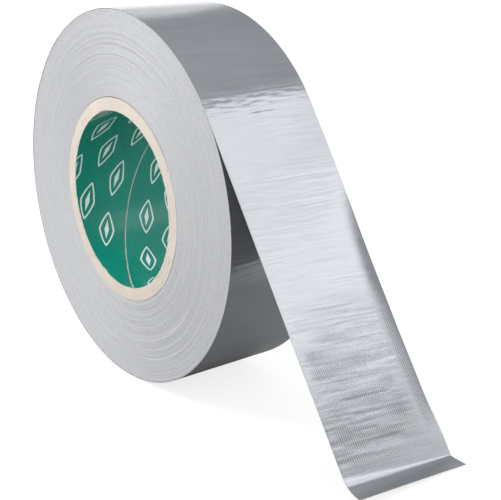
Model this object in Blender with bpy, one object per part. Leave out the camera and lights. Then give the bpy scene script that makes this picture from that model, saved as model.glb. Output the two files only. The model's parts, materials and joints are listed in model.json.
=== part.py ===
"""Roll of duct tape standing on its rim, with its free end pulled down to the surface in front of it.

The roll's axis runs along X. The free end leaves the roll towards -Y, and +Z is up. The origin is at the
centre of the part's footprint, on the surface that it stands on. All sizes are in metres and all angles in
radians. An angle round the roll is counted from its top, towards the free end.
"""

import math

import bpy

# The tape.
TAPE_WIDTH = 0.050
TAPE_LENGTH = 50.0
TAPE_THICKNESS = 0.00028
FILM_THICKNESS = 0.00007
SCRIM_THICKNESS = 0.00007
ADHESIVE_THICKNESS = 0.00010

# The core is a 3 inch tube of paper strips, each wound in a helix with its edges butted.
CORE_BORE = 0.0762
LINER_THICKNESS = 0.00035
BOARD_THICKNESS = 0.00095
BOARD_PLIES = 5
KRAFT_THICKNESS = 0.00035
STRIP_WIDTH = 0.100
SEAM_GAP = 0.0008
LINER_SEAM_ANGLE = math.radians(-110.5)

# The free end: where it leaves the roll, and how its last centimetre curls out to lie on the surface.
PEEL_ANGLE = math.radians(57.6)
CURL_RADIUS = 0.008
CURL_STEPS = 6
FLAT_END = 0.001
TAIL_SECTIONS = 5
LOOSE_TURN_START = math.radians(-93)
# The loose turn starts on a corner of the flats. Corners down to this far before it count as under it.
LOOSE_TURN_MARGIN = math.radians(1.5)

# Round pieces have this many flats, one of them level at the bottom of the roll.
FLATS = 60
SHARP_ANGLE = math.radians(35)
GLUE_LINE = 0.00002
HINGE_GAP = 0.0003
# Corners closer to an end than this share of a flat are left out. Points that are the same to these decimal
# places, in radians and in metres, are one.
CORNER_TOLERANCE = 1e-4
ANGLE_PLACES = 7
LENGTH_PLACES = 8

TURN = 2 * math.pi
STEP = TURN / FLATS
HALF_WIDTH = TAPE_WIDTH / 2
BORE_RADIUS = CORE_BORE / 2
CORE_THICKNESS = LINER_THICKNESS + BOARD_PLIES * BOARD_THICKNESS + KRAFT_THICKNESS
CORE_RADIUS = BORE_RADIUS + CORE_THICKNESS + (BOARD_PLIES + 1) * GLUE_LINE
ROLL_RADIUS = math.sqrt(CORE_RADIUS**2 + TAPE_LENGTH * TAPE_THICKNESS / math.pi)
WEB_INSIDE = ROLL_RADIUS - TAPE_THICKNESS
APOTHEM = ROLL_RADIUS * math.cos(STEP / 2)

# Each layer of the web as its lowest and highest face, counted up from the web's sticky face.
LAYERS = {
    "adhesive": (0.0, ADHESIVE_THICKNESS),
    "scrim": (ADHESIVE_THICKNESS + GLUE_LINE, ADHESIVE_THICKNESS + GLUE_LINE + SCRIM_THICKNESS),
    "film": (TAPE_THICKNESS - FILM_THICKNESS, TAPE_THICKNESS),
}

# Each material's colour, roughness and metallic value.
FINISHES = {
    "film": ((0.46, 0.48, 0.50), 0.30, 0.35),
    "scrim": ((0.62, 0.62, 0.58), 0.85, 0.0),
    "adhesive": ((0.50, 0.49, 0.45), 0.45, 0.0),
    "winding": ((0.55, 0.56, 0.58), 0.60, 0.0),
    "liner": ((0.01, 0.20, 0.14), 0.25, 0.0),
    "board": ((0.60, 0.50, 0.42), 0.90, 0.0),
    "kraft": ((0.48, 0.33, 0.20), 0.85, 0.0),
}


def clear_scene():
    for obj in list(bpy.data.objects):
        bpy.data.objects.remove(obj, do_unlink=True)


def make_material(name):
    colour, roughness, metallic = FINISHES[name]
    material = bpy.data.materials.new(name)
    material.use_nodes = True
    shader = material.node_tree.nodes["Principled BSDF"]
    shader.inputs["Base Color"].default_value = (*colour, 1.0)
    shader.inputs["Roughness"].default_value = roughness
    shader.inputs["Metallic"].default_value = metallic
    return material


def on_flats(radius, angle):
    """The point (y, z), from the axis, where a faceted circle of this corner radius is met at an angle."""
    off_centre = (angle + STEP / 2) % STEP - STEP / 2
    reach = radius * math.cos(STEP / 2) / math.cos(off_centre)
    return (-reach * math.sin(angle), reach * math.cos(angle))


def corner_angles(start, end):
    """start, every corner of the flats between start and end, and end."""
    first = math.floor(start / STEP - 0.5) + 1
    last = math.ceil(end / STEP)
    corners = [(k + 0.5) * STEP for k in range(first, last + 1)]
    margin = STEP * CORNER_TOLERANCE
    return [start] + [a for a in corners if start + margin < a < end - margin] + [end]


def tail_geometry():
    """Where the free end starts and its curl is, on its sticky face, as (y, z) from the roll's axis."""
    along = (-math.cos(PEEL_ANGLE), -math.sin(PEEL_ANGLE))
    out = (-math.sin(PEEL_ANGLE), math.cos(PEEL_ANGLE))
    start = on_flats(WEB_INSIDE, PEEL_ANGLE)
    centre_z = CURL_RADIUS - APOTHEM
    centre_y = start[0] + (CURL_RADIUS - (centre_z - start[1]) * out[1]) / out[0]
    bend = (centre_y - CURL_RADIUS * out[0], centre_z - CURL_RADIUS * out[1])
    straight = (bend[0] - start[0]) * along[0] + (bend[1] - start[1]) * along[1]
    return start, along, out, (centre_y, centre_z), straight


TAIL_START, TAIL_ALONG, TAIL_OUT, CURL_CENTRE, TAIL_STRAIGHT = tail_geometry()
CURL_LENGTH = CURL_RADIUS * PEEL_ANGLE
TAIL_LENGTH = TAIL_STRAIGHT + CURL_LENGTH + FLAT_END
AXIS_Z = APOTHEM
AXIS_Y = (-CURL_CENTRE[0] + FLAT_END - APOTHEM) / 2
AXIS = (0.0, AXIS_Y, AXIS_Z)


def tail_point(station, height):
    """The point (y, z), from the axis, at a distance along the free end and a height over its sticky face."""
    if station <= TAIL_STRAIGHT:
        y = TAIL_START[0] + station * TAIL_ALONG[0] + height * TAIL_OUT[0]
        z = TAIL_START[1] + station * TAIL_ALONG[1] + height * TAIL_OUT[1]
        return (y, z)
    turned = min((station - TAIL_STRAIGHT) / CURL_RADIUS, PEEL_ANGLE)
    slope = PEEL_ANGLE - turned
    radius = CURL_RADIUS - height
    past = max(0.0, station - TAIL_STRAIGHT - CURL_LENGTH)
    y = CURL_CENTRE[0] + radius * math.sin(slope) - past
    z = CURL_CENTRE[1] - radius * math.cos(slope)
    return (y, z)


def add_object(name, vertices, faces, material, parent):
    mesh = bpy.data.meshes.new(name)
    mesh.from_pydata(vertices, [], faces)
    mesh.materials.append(material)
    mesh.shade_smooth()
    mesh.set_sharp_from_angle(angle=SHARP_ANGLE)
    obj = bpy.data.objects.new(name, mesh)
    obj.parent = parent
    bpy.context.scene.collection.objects.link(obj)
    return obj


def add_empty(name, position, parent, parent_position):
    """An empty on a joint's axis. Positions are (x, y, z) in the part's frame."""
    empty = bpy.data.objects.new(name, None)
    empty.empty_display_size = TAPE_WIDTH / 2
    empty.parent = parent
    empty.location = [p - q for p, q in zip(position, parent_position)]
    bpy.context.scene.collection.objects.link(empty)
    return empty


def strip_solid(name, outer, inner, material, parent, closed=False):
    """A solid as wide as the tape, between two outlines of matching (y, z) points. A closed one is a ring."""
    count = len(outer)
    vertices = []
    for x in (-HALF_WIDTH, HALF_WIDTH):
        vertices += [(x, y, z) for y, z in outer]
        vertices += [(x, y, z) for y, z in inner]
    near_out, near_in, far_out, far_in = 0, count, 2 * count, 3 * count
    faces = []
    for i in range(count if closed else count - 1):
        j = (i + 1) % count
        faces.append((near_out + i, near_out + j, far_out + j, far_out + i))
        faces.append((near_in + i, far_in + i, far_in + j, near_in + j))
        faces.append((near_out + i, near_in + i, near_in + j, near_out + j))
        faces.append((far_out + i, far_out + j, far_in + j, far_in + i))
    if not closed:
        last = count - 1
        faces.append((near_out, far_out, far_in, near_in))
        faces.append((near_out + last, near_in + last, far_in + last, far_out + last))
    return add_object(name, vertices, faces, material, parent)


def clip(polygon, keep):
    """The part of a flat (angle, x) polygon where keep(point) is positive. keep is linear."""
    result = []
    for here, there in zip(polygon, polygon[1:] + polygon[:1]):
        a, b = keep(here), keep(there)
        if a >= 0:
            result.append(here)
        if (a > 0 > b) or (a < 0 < b):
            t = a / (a - b)
            result.append((here[0] + t * (there[0] - here[0]), here[1] + t * (there[1] - here[1])))
    return result


def strip_cells(radius, seam_angle):
    """The flats of one wound strip as (angle, x) polygons. Its edges follow the seam's helix."""
    helix = math.asin(STRIP_WIDTH / (TURN * radius))
    lead = TURN * radius * math.tan(helix)
    half_gap = SEAM_GAP / 2 / math.sin(helix) / radius
    low = seam_angle - TURN * HALF_WIDTH / lead
    high = seam_angle + TURN * HALF_WIDTH / lead + TURN

    def past_seam(point):
        return point[0] - seam_angle - TURN * point[1] / lead - half_gap

    def before_next_seam(point):
        return seam_angle + TURN * point[1] / lead + TURN - half_gap - point[0]

    cells = []
    angles = corner_angles(low, high)
    for a, b in zip(angles, angles[1:]):
        cell = [(a, -HALF_WIDTH), (b, -HALF_WIDTH), (b, HALF_WIDTH), (a, HALF_WIDTH)]
        cell = clip(clip(cell, past_seam), before_next_seam)
        if len(cell) >= 3:
            cells.append(cell)
    return cells


def rounded(point):
    """An (angle, x) point as a key that is the same for points that are one."""
    return (round(point[0], ANGLE_PLACES), round(point[1], LENGTH_PLACES))


def wound_ply(name, inner_radius, thickness, seam_angle, material, parent):
    """One paper strip of the core as a solid: flats inside and outside, and walls along its free edges."""
    cells = strip_cells(inner_radius, seam_angle)
    numbers = {}
    points = []
    for cell in cells:
        for point in cell:
            if rounded(point) not in numbers:
                numbers[rounded(point)] = len(points)
                points.append(point)
    count = len(points)
    vertices = []
    for radius in (inner_radius + thickness, inner_radius):
        for angle, x in points:
            vertices.append((x, *on_flats(radius, angle)))
    faces = []
    edges = {}
    for cell in cells:
        loop = [numbers[rounded(point)] for point in cell]
        loop = [n for n, before in zip(loop, loop[-1:] + loop[:-1]) if n != before]
        if len(loop) < 3:
            continue
        faces.append(tuple(loop))
        faces.append(tuple(n + count for n in reversed(loop)))
        for a, b in zip(loop, loop[1:] + loop[:1]):
            edges[(a, b)] = (b, a) in edges
            if edges[(a, b)]:
                edges[(b, a)] = True
    for (a, b), shared in edges.items():
        if not shared:
            faces.append((b, a, a + count, b + count))
    return add_object(name, vertices, faces, material, parent)


def make_core(parent, materials):
    radius = BORE_RADIUS
    plies = [("core_liner", LINER_THICKNESS, "liner")]
    plies += [(f"core_board_{k + 1}", BOARD_THICKNESS, "board") for k in range(BOARD_PLIES)]
    plies += [("core_outer_ply", KRAFT_THICKNESS, "kraft")]
    stagger = TURN / len(plies)
    for k, (name, thickness, finish) in enumerate(plies):
        wound_ply(name, radius, thickness, LINER_SEAM_ANGLE + k * stagger, materials[finish], parent)
        radius += thickness + GLUE_LINE


def winding_radius(angle):
    """The wound pack's outer radius: lower by one web under the loose turn and where that leaves it."""
    covered = LOOSE_TURN_START - LOOSE_TURN_MARGIN < angle < PEEL_ANGLE + STEP
    return WEB_INSIDE - GLUE_LINE if covered else ROLL_RADIUS


def make_winding(parent, materials):
    angles = [(k + 0.5) * STEP - math.pi for k in range(FLATS)]
    outer = []
    for angle in angles:
        radius = winding_radius(angle)
        outer.append((-radius * math.sin(angle), radius * math.cos(angle)))
    inner = [on_flats(CORE_RADIUS + GLUE_LINE, angle) for angle in angles]
    strip_solid("winding", outer, inner, materials["winding"], parent, closed=True)


def make_loose_turn(parent, materials):
    """The last stretch of tape that still lies on the roll, layer by layer."""
    end = PEEL_ANGLE - HINGE_GAP / 2 / ROLL_RADIUS
    angles = corner_angles(LOOSE_TURN_START, end)
    for layer, (bottom, top) in LAYERS.items():
        outer = [on_flats(WEB_INSIDE + top, angle) for angle in angles]
        inner = [on_flats(WEB_INSIDE + bottom, angle) for angle in angles]
        strip_solid(f"{layer}_on_roll", outer, inner, materials[layer], parent)


def tail_section(suffix, stations, hinge, parent, materials):
    """The three layers of one section of the free end, placed from its hinge."""
    for layer, (bottom, top) in LAYERS.items():
        outlines = []
        for height in (top, bottom):
            outline = [tail_point(station, height) for station in stations]
            outlines.append([(y - hinge[0], z - hinge[1]) for y, z in outline])
        strip_solid(f"{layer}_{suffix}", outlines[0], outlines[1], materials[layer], parent)


def make_tail(axis_empty, materials):
    """The free end: straight sections that hinge on each other, and the curled tip."""
    parent, parent_position = axis_empty, AXIS
    length = TAIL_STRAIGHT / TAIL_SECTIONS
    names = [f"tail_{k + 1}" for k in range(TAIL_SECTIONS)] + ["tip"]
    for k, suffix in enumerate(names):
        start = k * length
        hinge = tail_point(start, TAPE_THICKNESS / 2)
        position = (0.0, AXIS_Y + hinge[0], AXIS_Z + hinge[1])
        parent = add_empty(f"hinge_{suffix}", position, parent, parent_position)
        parent_position = position
        first = start + HINGE_GAP / 2
        if suffix == "tip":
            curl = [TAIL_STRAIGHT + CURL_LENGTH * i / CURL_STEPS for i in range(1, CURL_STEPS + 1)]
            stations = [first] + curl + [TAIL_LENGTH]
        else:
            stations = [first, start + length - HINGE_GAP / 2]
        tail_section(suffix, stations, hinge, parent, materials)


def main():
    clear_scene()
    materials = {name: make_material(name) for name in FINISHES}
    axis_empty = add_empty("roll_axis", AXIS, None, (0.0, 0.0, 0.0))
    make_core(axis_empty, materials)
    make_winding(axis_empty, materials)
    make_loose_turn(axis_empty, materials)
    make_tail(axis_empty, materials)


main()
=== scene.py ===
"""Looks of a roll of silver cloth tape whose free end is pulled down to the surface in front of it.

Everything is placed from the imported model: the roll's axis from its core, the free end from its hinges.
Sizes are in metres and angles in radians. An angle round the roll is counted from its top towards the free
end. A station is a distance along the tape from the line where it leaves the roll: negative on the roll,
positive on the free end.
"""

import json
import math

import bpy
import numpy as np
from mathutils import Matrix, Vector


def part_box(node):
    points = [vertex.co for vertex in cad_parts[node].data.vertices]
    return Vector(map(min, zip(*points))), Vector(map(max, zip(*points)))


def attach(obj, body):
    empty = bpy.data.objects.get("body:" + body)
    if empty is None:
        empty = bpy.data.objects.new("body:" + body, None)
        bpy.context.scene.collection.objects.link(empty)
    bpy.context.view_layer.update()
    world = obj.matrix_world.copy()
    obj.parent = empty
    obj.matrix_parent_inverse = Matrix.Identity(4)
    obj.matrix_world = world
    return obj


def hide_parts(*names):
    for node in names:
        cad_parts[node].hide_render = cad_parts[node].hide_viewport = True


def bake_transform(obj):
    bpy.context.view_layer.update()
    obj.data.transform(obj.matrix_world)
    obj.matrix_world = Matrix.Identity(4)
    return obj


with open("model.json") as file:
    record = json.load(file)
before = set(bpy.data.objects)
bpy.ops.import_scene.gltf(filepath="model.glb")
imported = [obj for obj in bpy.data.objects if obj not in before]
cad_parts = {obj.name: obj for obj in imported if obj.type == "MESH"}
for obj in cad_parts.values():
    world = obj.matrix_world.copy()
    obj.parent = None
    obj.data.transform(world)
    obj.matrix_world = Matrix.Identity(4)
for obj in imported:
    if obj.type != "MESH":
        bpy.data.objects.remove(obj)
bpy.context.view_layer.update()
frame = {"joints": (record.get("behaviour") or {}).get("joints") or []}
MM = 0.001
TURN = 2 * math.pi

# The web: adhesive, scrim and backing film, from its sticky face outwards.
TAPE_THICKNESS = 0.28 * MM
FILM_THICKNESS = 0.07 * MM
SCRIM_THICKNESS = 0.07 * MM
ADHESIVE_THICKNESS = 0.10 * MM
GLUE_LINE = 0.02 * MM
WARP_PITCH = 0.95 * MM
WEFT_PITCH = 2.45 * MM

# The core: a 3 inch tube of paper strips wound in a helix.
BORE_RADIUS = 38.1 * MM
LINER_THICKNESS = 0.35 * MM
BOARD_THICKNESS = 0.95 * MM
BOARD_PLIES = 5
KRAFT_THICKNESS = 0.35 * MM
STRIP_WIDTH = 100 * MM
SEAM_GAP = 1.25 * MM
LINER_SEAM_ANGLE = math.radians(-110.5)
CORE_THICKNESS = LINER_THICKNESS + BOARD_PLIES * BOARD_THICKNESS + KRAFT_THICKNESS
CORE_RADIUS = BORE_RADIUS + CORE_THICKNESS + (BOARD_PLIES + 1) * GLUE_LINE

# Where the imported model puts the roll's axis, its width and the free end's hinges.
CORE_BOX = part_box("core_outer_ply")
AXIS = (CORE_BOX[0] + CORE_BOX[1]) / 2
HALF_WIDTH = CORE_BOX[1].x
HINGES = [Vector(joint["pos_m"]) for joint in frame["joints"]]
SECTIONS = [joint["child"] for joint in frame["joints"]]
SPAN = HINGES[-1] - HINGES[0]
STRAIGHT = SPAN.length
PEEL_ANGLE = math.atan2(-SPAN.z, -SPAN.y)
ALONG = np.array([SPAN.y, SPAN.z]) / STRAIGHT
OUT = np.array([ALONG[1], -ALONG[0]])

# The foot at the cut end, for the tape's near and far edge: the station where it starts to turn, over what
# length it turns, the slope that it turns to, and how much tape it takes.
FOOT_BASE = STRAIGHT - 8 * MM
FOOT_START = (135.7 * MM, 143.4 * MM)
FOOT_BEND = (10.0 * MM, 1.2 * MM)
FOOT_SLOPE = (math.radians(8), math.radians(9))
FOOT_LENGTH = (10.6 * MM, 7.8 * MM)
FOOT_FINE = 160
MIDDLE_END = sum(FOOT_START) / 2 + sum(FOOT_LENGTH) / 2

# The scrim's weft runs more and more askew down the free end: at x it comes later by up to this share of x.
WEFT_SKEW = 0.105
SKEW_LENGTH = 110 * MM

# The tape is one spiral. Its sticky face has this radius where it leaves the roll, so that the roll touches
# the floor.
LAST_RADIUS = AXIS.z - TAPE_THICKNESS + TAPE_THICKNESS * (PEEL_ANGLE + math.pi) / TURN
TURNS_UNDER_LAST = round((LAST_RADIUS - TAPE_THICKNESS - CORE_RADIUS) / TAPE_THICKNESS)
TURN_LENGTH = TURN * (LAST_RADIUS - TAPE_THICKNESS / 2)
SETTLE_LENGTH = 60 * MM

# How far each section of the free end starts before its hinge: not at all at the first, HINGE_BEND at the
# next four, TIP_LEAD at the last.
HINGE_BEND = 8 * MM
TIP_LEAD = 2.2 * MM

# How far things stand out through the film: the scrim's yarns, fine creases on the lower half of the free end
# and in its near corner, the bands where the cloth sinks in, and the crumpling where the tape is peeled.
WARP_PRINT = 0.046 * MM
WEFT_PRINT = 0.010 * MM
CREASE_PRINT = 0.010 * MM
CORNER_PRINT = 0.022 * MM
BAND_PRINT = 0.006 * MM
CRUMPLE_PRINT = 0.024 * MM

# How strongly the yarns show: where the film is smooth, on the lower half, in its bands, and at the far edge.
FAINT_YARNS = 0.08
LOWER_YARNS = 0.66
BANDED_YARNS = 0.60
MOST_YARNS = 1.4
EDGE_YARNS = 0.65

# How finely the surfaces are cut.
FILM_COLUMNS = 264
COAT_COLUMNS = 58
TURN_COLUMNS = 76
FINE_STEP = 0.42 * MM
COARSE_STEP = 1.3 * MM


# ---------------- noise and small helpers

def fade(t):
    """A smooth step from 0 to 1 as t goes from 0 to 1."""
    t = np.clip(t, 0.0, 1.0)
    return t * t * (3 - 2 * t)


def bump(t):
    """A smooth hump: 1 where t is 0, and 0 from where t is -1 or 1."""
    return fade(1 - np.abs(t))


def window(value, start, rise, end, fall):
    """1 inside a range. It rises over a length after the start, and falls over one before the end."""
    return fade((value - start) / rise) * fade((end - value) / fall)


def lattice_value(column, row, seed):
    """A repeatable number from 0 to 1 for each point of a square lattice."""
    mixed = np.sin(column * 12.9898 + row * 78.233 + seed * 37.719) * 43758.5453
    return mixed - np.floor(mixed)


def noise(x, y, seed):
    """Smooth noise from -1 to 1 that changes over about one unit of x and of y."""
    column, row = np.floor(x), np.floor(y)
    u, v = fade(x - column), fade(y - row)
    low = lattice_value(column, row, seed) * (1 - u) + lattice_value(column + 1, row, seed) * u
    high = lattice_value(column, row + 1, seed) * (1 - u) + lattice_value(column + 1, row + 1, seed) * u
    return 2 * (low * (1 - v) + high * v) - 1


def steps(start, end, step):
    """Evenly spaced values from start to end, about one step apart."""
    return np.linspace(start, end, max(2, round((end - start) / step) + 1))


# ---------------- mesh building

def add_piece(name, points, faces, material, flat_map=None, sharp=40, edge=None):
    """A mesh object of quads. flat_map gives each point's place on the unrolled material.

    edge is a (material, which faces) pair for the faces that show the material's cut edge.
    """
    mesh = bpy.data.meshes.new(name)
    faces = np.asarray(faces, np.int32)
    corners = faces.shape[1]
    mesh.vertices.add(len(points))
    mesh.vertices.foreach_set("co", np.asarray(points, np.float32).ravel())
    mesh.loops.add(faces.size)
    mesh.loops.foreach_set("vertex_index", faces.ravel())
    mesh.polygons.add(len(faces))
    mesh.polygons.foreach_set("loop_start", np.arange(0, faces.size, corners, dtype=np.int32))
    mesh.update(calc_edges=True)
    if flat_map is not None:
        layer = mesh.uv_layers.new(name="flat")
        layer.data.foreach_set("uv", np.asarray(flat_map, np.float32)[faces.ravel()].ravel())
    mesh.materials.append(material)
    if edge is not None:
        mesh.materials.append(edge[0])
        mesh.polygons.foreach_set("material_index", np.asarray(edge[1], np.int32))
    mesh.shade_smooth()
    mesh.set_sharp_from_angle(angle=math.radians(sharp))
    piece = bpy.data.objects.new(name, mesh)
    bpy.context.scene.collection.objects.link(piece)
    return piece


def facing_out(points, faces):
    """The faces of one closed body, turned so that they point outwards."""
    a, b, c = (points[faces[:, k]] for k in range(3))
    volume = np.einsum("ij,ij->", a, np.cross(b, c))
    if faces.shape[1] == 4:
        volume += np.einsum("ij,ij->", a, np.cross(c, points[faces[:, 3]]))
    return faces if volume > 0 else faces[:, ::-1]


def grid_faces(rows, columns):
    """Quads of a closed solid between two matching grids, and which of them are the walls round its rim."""
    number = np.arange(rows * columns).reshape(rows, columns)
    here, there = number[:-1], number[1:]
    below = rows * columns
    surface = 2 * here[:, :-1].size
    quads = [
        np.stack([here[:, :-1], there[:, :-1], there[:, 1:], here[:, 1:]], -1),
        np.stack([here[:, :-1], here[:, 1:], there[:, 1:], there[:, :-1]], -1) + below,
        np.stack([there[:, 0], here[:, 0], here[:, 0] + below, there[:, 0] + below], -1),
        np.stack([here[:, -1], there[:, -1], there[:, -1] + below, here[:, -1] + below], -1),
    ]
    first, last = number[0], number[-1]
    quads.append(np.stack([first[:-1], first[1:], first[1:] + below, first[:-1] + below], -1))
    quads.append(np.stack([last[1:], last[:-1], last[:-1] + below, last[1:] + below], -1))
    faces = np.concatenate([q.reshape(-1, 4) for q in quads])
    return faces, np.arange(len(faces)) >= surface


def grid_solid(name, top, bottom, material, flat_map, edge_material):
    """A closed solid between two grids of points (rows, columns, 3), with a material for its cut edges."""
    rows, columns = top.shape[:2]
    points = np.concatenate([top.reshape(-1, 3), bottom.reshape(-1, 3)])
    faces, is_edge = grid_faces(rows, columns)
    places = np.tile(flat_map.reshape(-1, 2), (2, 1))
    return add_piece(name, points, facing_out(points, faces), material, places, edge=(edge_material, is_edge))


# ---------------- the tape's path and relief

def tape_line(stations):
    """The tape's sticky face before its foot: (y, z) points and outward normals at these stations."""
    s = np.asarray(stations, float)[..., None]
    angle = PEEL_ANGLE + np.minimum(s, 0.0) / LAST_RADIUS
    radius = LAST_RADIUS + TAPE_THICKNESS * (angle - PEEL_ANGLE) / TURN
    normal = np.concatenate([-np.sin(angle), np.cos(angle)], -1)
    on_roll = np.array([AXIS.y, AXIS.z]) + radius * normal

    start = np.array([HINGES[0].y, HINGES[0].z]) - OUT * TAPE_THICKNESS / 2
    step_up = (np.array([AXIS.y, AXIS.z]) + LAST_RADIUS * OUT - start) @ OUT
    free = np.maximum(s, 0.0)
    tail = start + free * ALONG + step_up * (1 - fade(free / SETTLE_LENGTH)) * OUT
    return np.where(s > 0, tail, on_roll), np.where(s > 0, OUT, normal)


def by_edge(values, x):
    """A value at x, from its (near edge, far edge) values."""
    return values[0] + (values[1] - values[0]) * (x / (2 * HALF_WIDTH) + 0.5)


def foot_line(x, s):
    """The tape's sticky face after FOOT_BASE, for stations s (rows, columns) at each x (columns)."""
    start, bend, slope, length = (by_edge(v, x) for v in (FOOT_START, FOOT_BEND, FOOT_SLOPE, FOOT_LENGTH))
    fine = np.linspace(0.0, 1.0, FOOT_FINE)[:, None] * (start + length + 2 * MM - FOOT_BASE) + FOOT_BASE
    turned = np.clip((fine - start) / bend, 0.0, 1.0)
    past = np.clip((fine - start) / length, 0.0, 1.0)
    angle = PEEL_ANGLE * (1 - turned) + slope * turned * (1 - past)
    middle, ahead = (angle[1:] + angle[:-1]) / 2, np.diff(fine, axis=0)
    base = tape_line([FOOT_BASE])[0][0]
    zero = np.zeros((1, len(x)))
    y = base[0] - np.concatenate([zero, np.cumsum(np.cos(middle) * ahead, axis=0)])
    z = base[1] - np.concatenate([zero, np.cumsum(np.sin(middle) * ahead, axis=0)])
    columns = range(len(x))
    line = [np.stack([np.interp(s[:, k], fine[:, k], v[:, k]) for k in columns], 1) for v in (y, z, angle)]
    normal = np.stack([-np.sin(line[2]), np.cos(line[2])], -1)
    return np.stack(line[:2], -1), normal


def tape_path(x, s):
    """The line of the tape's sticky face: (y, z) points and outward normals for stations (rows, columns)."""
    s = np.broadcast_to(s, (len(s), len(x)))
    line, normal = tape_line(s)
    if s.max() <= FOOT_BASE:
        return line, normal
    foot, foot_normal = foot_line(x, s)
    late = (s > FOOT_BASE)[..., None]
    return np.where(late, foot, line), np.where(late, foot_normal, normal)


def skew(s):
    """How far askew the weft runs at a station: station gained per length across."""
    return WEFT_SKEW * fade(s / SKEW_LENGTH)


# The share of a fold's length over which each end of it fades out, and how far from a fold it is still felt.
FOLD_TAPER = 0.2
FOLD_REACH = 6 * MM


def fold(x, s, start, end, width, height):
    """A crosswise fold from start to end, each an (x, station) pair. It fades out at both ends."""
    along = (x - start[0]) / (end[0] - start[0])
    middle = start[1] + (end[1] - start[1]) * along
    return height * np.exp(-(((s - middle) / width) ** 2)) * window(along, 0.0, FOLD_TAPER, 1.0, FOLD_TAPER)


def folds_between(first, last, count, width, height, seed, x_share=(0.25, 0.9), slant=0.6 * MM):
    """Random crosswise folds between two stations, as arguments for fold()."""
    rng = np.random.default_rng(seed)
    made = []
    for _ in range(count):
        length = rng.uniform(*x_share) * 2 * HALF_WIDTH
        left = rng.uniform(-HALF_WIDTH - length * 0.15, HALF_WIDTH - length * 0.85)
        station = rng.uniform(first, last)
        lean = rng.normal(0, slant)
        tall = height * rng.uniform(0.35, 1.0) * rng.choice([-1, 1])
        wide = width * rng.uniform(0.6, 1.5)
        made.append(((left, station - lean), (left + length, station + lean), wide, tall))
    return made


def folds_in_mm(*rows):
    """Folds from rows of millimetres: x and station of the start, of the end, the width and the height."""
    rows = [[value * MM for value in row] for row in rows]
    return [((a, b), (c, d), width, height) for a, b, c, d, width, height in rows]


# Folds: a crumpled band where the tape is peeled, an older one on the turn below, the free end's wrinkles.
PEEL_FOLDS = folds_between(
    -8.5 * MM, 4 * MM, 110, 0.38 * MM, 0.026 * MM, seed=3, x_share=(0.08, 0.4), slant=0.12 * MM
)
PEEL_FOLDS += folds_in_mm((-27, -7.6, 27, -8.6, 0.30, 0.05), (12, -15.6, 27, -16.6, 0.35, 0.05))
OLD_BAND = -TURN_LENGTH + 56 * MM
OLD_BAND_HALF = 7 * MM
OLD_FOLDS = folds_between(OLD_BAND - OLD_BAND_HALF, OLD_BAND + OLD_BAND_HALF, 30, 0.5 * MM, 0.05 * MM, seed=8)
UPPER_FOLDS = folds_between(3 * MM, 70 * MM, 110, 0.5 * MM, 0.020 * MM, seed=5, x_share=(0.4, 1.1))
LOWER_FOLDS = folds_between(70 * MM, 134 * MM, 40, 0.7 * MM, 0.022 * MM, seed=12, x_share=(0.3, 0.8))
CREASES = folds_between(
    74 * MM, 134 * MM, 80, 0.34 * MM, 0.018 * MM, seed=21, x_share=(0.12, 0.45), slant=0.15 * MM
)
CREASES += folds_in_mm(
    (-16, 112.6, 11, 112.4, 0.42, 0.085),
    (-13, 118.2, 4, 118.6, 0.40, 0.060),
    (-20, 123.9, -1, 123.9, 0.42, 0.080),
    (-22, 128.4, 10, 128.2, 0.42, 0.100),
    (-29, 121.8, -14, 122.0, 0.45, 0.050),
    (-29, 126.6, -13, 126.4, 0.45, 0.055),
    (-30, 131.2, -15, 131.0, 0.45, 0.050),
    (-30, 133.6, -17, 133.4, 0.45, 0.045),
)
CREASE_BACK = 5 * MM


def crease(x, s, start, end, width, depth):
    """A sharp crosswise step down from start to end, after which the web slowly comes back up."""
    along = (x - start[0]) / (end[0] - start[0])
    after = s - (start[1] + (end[1] - start[1]) * along)
    step = fade(after / width + 0.5) * (1 - fade(after / CREASE_BACK))
    return -abs(depth) * step * window(along, 0.0, FOLD_TAPER, 1.0, FOLD_TAPER)


# The far edge rolls back: from this place across the tape, and by this much at the edge itself.
ROLL_BACK_FROM = 15.5 * MM
ROLL_BACK = 1.33 * MM


def drape(x, s):
    """How far the whole web stands off its path: folds, soft waves, and the far edge that rolls back."""
    x, s = np.broadcast_arrays(x, s)
    on_tail = window(s, 0.0, 12 * MM, STRAIGHT + 2 * MM, 9 * MM)
    height = on_tail * 0.12 * MM * noise(x / (24 * MM) + 9, s / (19 * MM), 31)
    height += on_tail * 0.02 * MM * noise(x / (14 * MM), s / (8 * MM), 32)
    rolled = np.clip((x - ROLL_BACK_FROM) / (HALF_WIDTH - ROLL_BACK_FROM), 0.0, 1.0) ** 2
    height -= ROLL_BACK * rolled * window(s, 16 * MM, 62 * MM, STRAIGHT - 2 * MM, 21 * MM)
    woven = s - x * skew(s)
    kinds = [(fold, folds) for folds in (PEEL_FOLDS, OLD_FOLDS, UPPER_FOLDS, LOWER_FOLDS)]
    for shape, folds in kinds + [(crease, CREASES)]:
        low = min(min(f[0][1], f[1][1]) for f in folds) - FOLD_REACH
        high = max(max(f[0][1], f[1][1]) for f in folds) + FOLD_REACH
        rows = ((woven > low) & (woven < high)).any(axis=1)
        if rows.any():
            height[rows] += sum(shape(x[rows], woven[rows], *f) for f in folds)
    outwards_only = fade(-s / (0.5 * MM))
    return np.abs(height) * outwards_only + height * (1 - outwards_only)


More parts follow.
